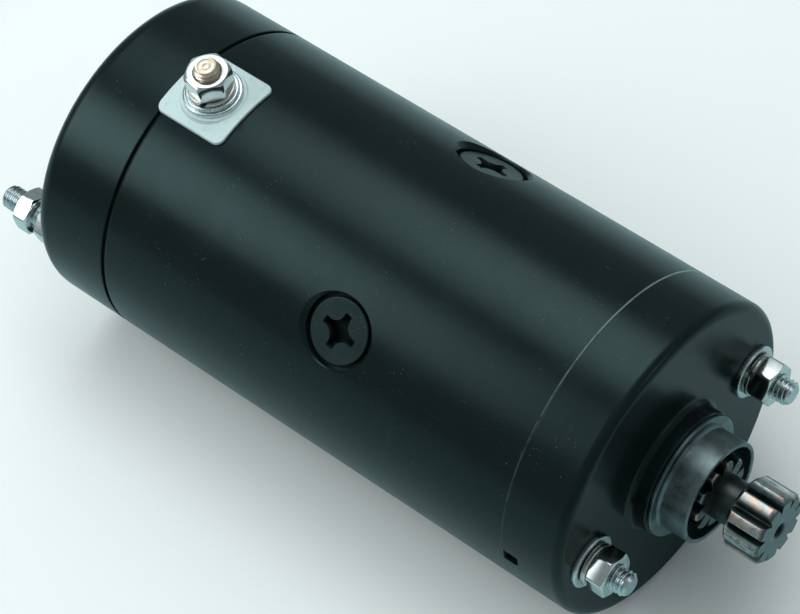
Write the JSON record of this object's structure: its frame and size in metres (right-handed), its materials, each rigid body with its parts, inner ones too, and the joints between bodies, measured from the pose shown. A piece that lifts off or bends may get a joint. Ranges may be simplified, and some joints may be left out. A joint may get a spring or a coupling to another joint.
{
  "type": "starter motor",
  "caption": "Cylindrical direct-drive starter motor with a pinion on the armature shaft, a pilot sleeve with a needle bearing, a side terminal and mounting studs.",
  "frame": {"origin": "on the shaft's axis, midway along the casing, from the rear face to the front of the drive end's boss; the solids' volume centroid is about 0.3 mm from it", "axes": "+X along the shaft towards the pinion, +Z out through the terminal stud"},
  "size_m": [0.2293, 0.0888, 0.1019],
  "materials": {
    "black_paint": "semi-gloss black enamel, dusty",
    "black_screw": "black painted steel screw",
    "burnished_steel": "bare turned steel, lightly marked",
    "pinion_steel": "hardened steel, worn bright on the tooth tips",
    "bearing_steel": "ground bearing steel",
    "bearing_cage": "pressed steel cage and polished needles",
    "zinc": "clear zinc plate",
    "yellow_zinc": "yellow zinc plate",
    "bright_nut": "bright nickel plate",
    "copper_stud": "copper-plated stud",
    "copper": "bare copper",
    "winding_copper": "copper bars with wrapped end turns",
    "pole_steel": "plain low-carbon steel",
    "core_steel": "stacked steel laminations",
    "coil_wrap": "varnished cotton tape over copper strap",
    "insulator_white": "off-white moulded nylon",
    "seal_rubber": "nitrile rubber",
    "bronze": "porous oiled bronze",
    "carbon": "copper-graphite brush",
    "spring_steel": "rolled strip spring",
    "plate_steel": "zinc-plated pressed steel"
  },
  "bodies": {
    "motor_casing": {"field_frame": "black_paint", "drive_end_head": "black_paint", "commutator_end_head": "black_paint", "pilot_sleeve": "burnished_steel", "pole_shoe_1": "pole_steel", "field_coil_1": "coil_wrap", "pole_screw_1": "black_screw", "pole_shoe_2": "pole_steel", "field_coil_2": "coil_wrap", "pole_screw_2": "black_screw", "pole_shoe_3": "pole_steel", "field_coil_3": "coil_wrap", "pole_screw_3": "black_screw", "pole_shoe_4": "pole_steel", "field_coil_4": "coil_wrap", "pole_screw_4": "black_screw", "field_strap": "copper", "needle_bearing_cup": "bearing_steel", "oil_seal": "seal_rubber", "rear_bushing": "bronze", "thrust_washer": "plate_steel", "brush_plate": "plate_steel", "brush_holder_1": "plate_steel", "brush_holder_2": "plate_steel", "brush_holder_3": "plate_steel", "brush_holder_4": "plate_steel", "terminal_insulator_plate": "insulator_white", "terminal_insulator_bush": "insulator_white", "terminal_stud": "copper_stud", "terminal_washer": "zinc", "terminal_upper_washer": "zinc", "terminal_lock_washer": "yellow_zinc", "terminal_nut": "bright_nut", "through_stud_1": "zinc", "front_washer_1": "zinc", "front_lock_washer_1": "yellow_zinc", "front_nut_1": "bright_nut", "rear_stud_1": "zinc", "rear_clamp_nut_1": "bright_nut", "rear_bracket_nut_1": "bright_nut", "through_stud_2": "zinc", "front_washer_2": "zinc", "front_lock_washer_2": "yellow_zinc", "front_nut_2": "bright_nut", "rear_stud_2": "zinc", "rear_clamp_nut_2": "bright_nut", "rear_bracket_nut_2": "bright_nut"},
    "armature": {"armature_shaft": "pinion_steel", "armature_core": "core_steel", "armature_winding": "winding_copper", "commutator": "copper"},
    "needle_set": {"needle_bearing_rollers": "bearing_cage"},
    "brush_1_body": {"brush_1": "carbon"},
    "spring_1_body": {"brush_spring_1": "spring_steel"},
    "brush_2_body": {"brush_2": "carbon"},
    "spring_2_body": {"brush_spring_2": "spring_steel"},
    "brush_3_body": {"brush_3": "carbon"},
    "spring_3_body": {"brush_spring_3": "spring_steel"},
    "brush_4_body": {"brush_4": "carbon"},
    "spring_4_body": {"brush_spring_4": "spring_steel"}
  },
  "joints": [
    {"name": "armature_spin", "type": "hinge", "parent": "motor_casing", "child": "armature", "pos_m": [0, 0, 0], "axis": [1, 0, 0], "continuous": true},
    {"name": "needle_set_spin", "type": "hinge", "parent": "motor_casing", "child": "needle_set", "pos_m": [0, 0, 0], "axis": [1, 0, 0], "continuous": true},
    {"name": "brush_1_slide", "type": "slide", "parent": "motor_casing", "child": "brush_1_body", "axis": [0, 0.7071, 0.7071], "range_m": [0, 0.0025]},
    {"name": "spring_1_roll", "type": "hinge", "parent": "brush_1_body", "child": "spring_1_body", "pos_m": [-0.0589, 0.02146, 0.02146], "axis": [1, 0, 0], "range_deg": [0, 52]},
    {"name": "brush_2_slide", "type": "slide", "parent": "motor_casing", "child": "brush_2_body", "axis": [0, -0.7071, 0.7071], "range_m": [0, 0.0025]},
    {"name": "spring_2_roll", "type": "hinge", "parent": "brush_2_body", "child": "spring_2_body", "pos_m": [-0.0589, -0.02146, 0.02146], "axis": [1, 0, 0], "range_deg": [0, 52]},
    {"name": "brush_3_slide", "type": "slide", "parent": "motor_casing", "child": "brush_3_body", "axis": [0, -0.7071, -0.7071], "range_m": [0, 0.0025]},
    {"name": "spring_3_roll", "type": "hinge", "parent": "brush_3_body", "child": "spring_3_body", "pos_m": [-0.0589, -0.02146, -0.02146], "axis": [1, 0, 0], "range_deg": [0, 52]},
    {"name": "brush_4_slide", "type": "slide", "parent": "motor_casing", "child": "brush_4_body", "axis": [0, 0.7071, -0.7071], "range_m": [0, 0.0025]},
    {"name": "spring_4_roll", "type": "hinge", "parent": "brush_4_body", "child": "spring_4_body", "pos_m": [-0.0589, 0.02146, -0.02146], "axis": [1, 0, 0], "range_deg": [0, 52]}
  ],
  "couplings": [
    {"joint": "needle_set_spin", "follows": "armature_spin", "ratio": 0.4545},
    {"joint": "spring_1_roll", "follows": "brush_1_slide", "rad_per_m": 357},
    {"joint": "spring_2_roll", "follows": "brush_2_slide", "rad_per_m": 357},
    {"joint": "spring_3_roll", "follows": "brush_3_slide", "rad_per_m": 357},
    {"joint": "spring_4_roll", "follows": "brush_4_slide", "rad_per_m": 357}
  ]
}
